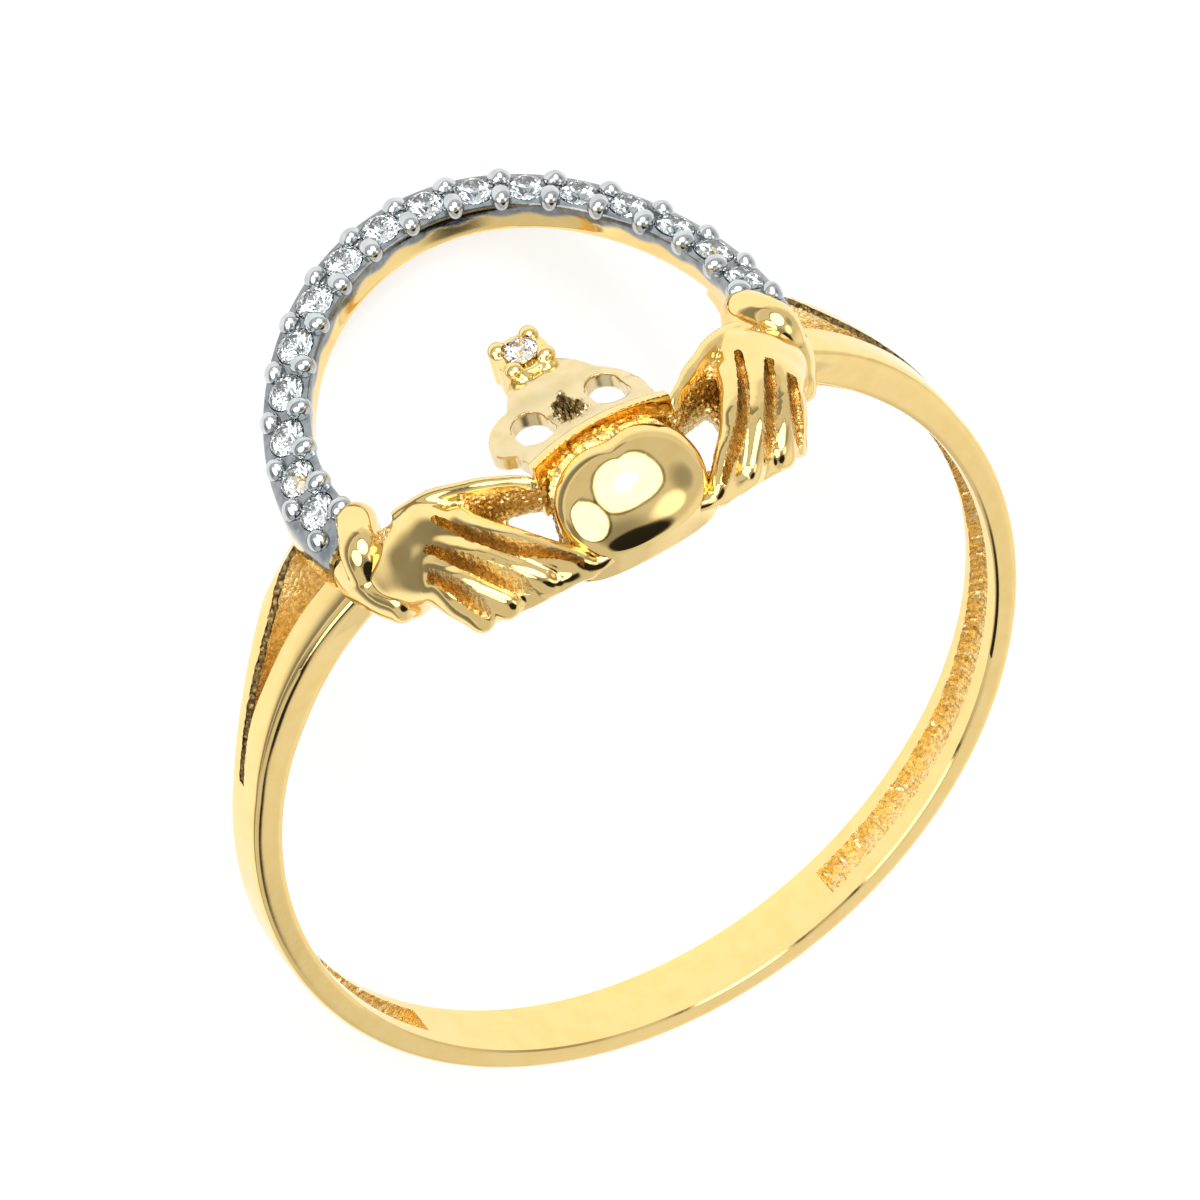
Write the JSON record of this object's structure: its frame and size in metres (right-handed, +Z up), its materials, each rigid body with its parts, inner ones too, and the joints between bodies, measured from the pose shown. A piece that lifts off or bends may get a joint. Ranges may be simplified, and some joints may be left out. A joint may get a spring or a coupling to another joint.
{
  "type": "claddagh finger ring",
  "caption": "Claddagh finger ring: cuffed hands hold a crowned heart on a split-shouldered band, with a raised arc of small clear stones behind the crown.",
  "frame": {"origin": "middle of the finger hole, on its axis, in the plane where the bottom of the band has its middle", "axes": "+X across the hands to the ring's left as it lies, -Y from the band towards the heart, +Z up; the finger hole's axis leans 16 degrees from Z, as the ring lies on its arc of stones and the rear edge of its band"},
  "size_m": [0.0182, 0.0206, 0.011],
  "materials": {
    "yellow_gold": "polished yellow gold, rough as cast in the recesses",
    "white_rhodium": "bright white rhodium plating",
    "clear_stone": "polished, faceted, colourless"
  },
  "bodies": {
    "root": {"ring_body": "yellow_gold", "crown_stone": "clear_stone", "stone_01": "clear_stone", "stone_02": "clear_stone", "stone_03": "clear_stone", "stone_04": "clear_stone", "stone_05": "clear_stone", "stone_06": "clear_stone", "stone_07": "clear_stone", "stone_08": "clear_stone", "stone_09": "clear_stone", "stone_10": "clear_stone", "stone_11": "clear_stone", "stone_12": "clear_stone", "stone_13": "clear_stone", "stone_14": "clear_stone", "stone_15": "clear_stone", "stone_16": "clear_stone"}
  },
  "joints": []
}
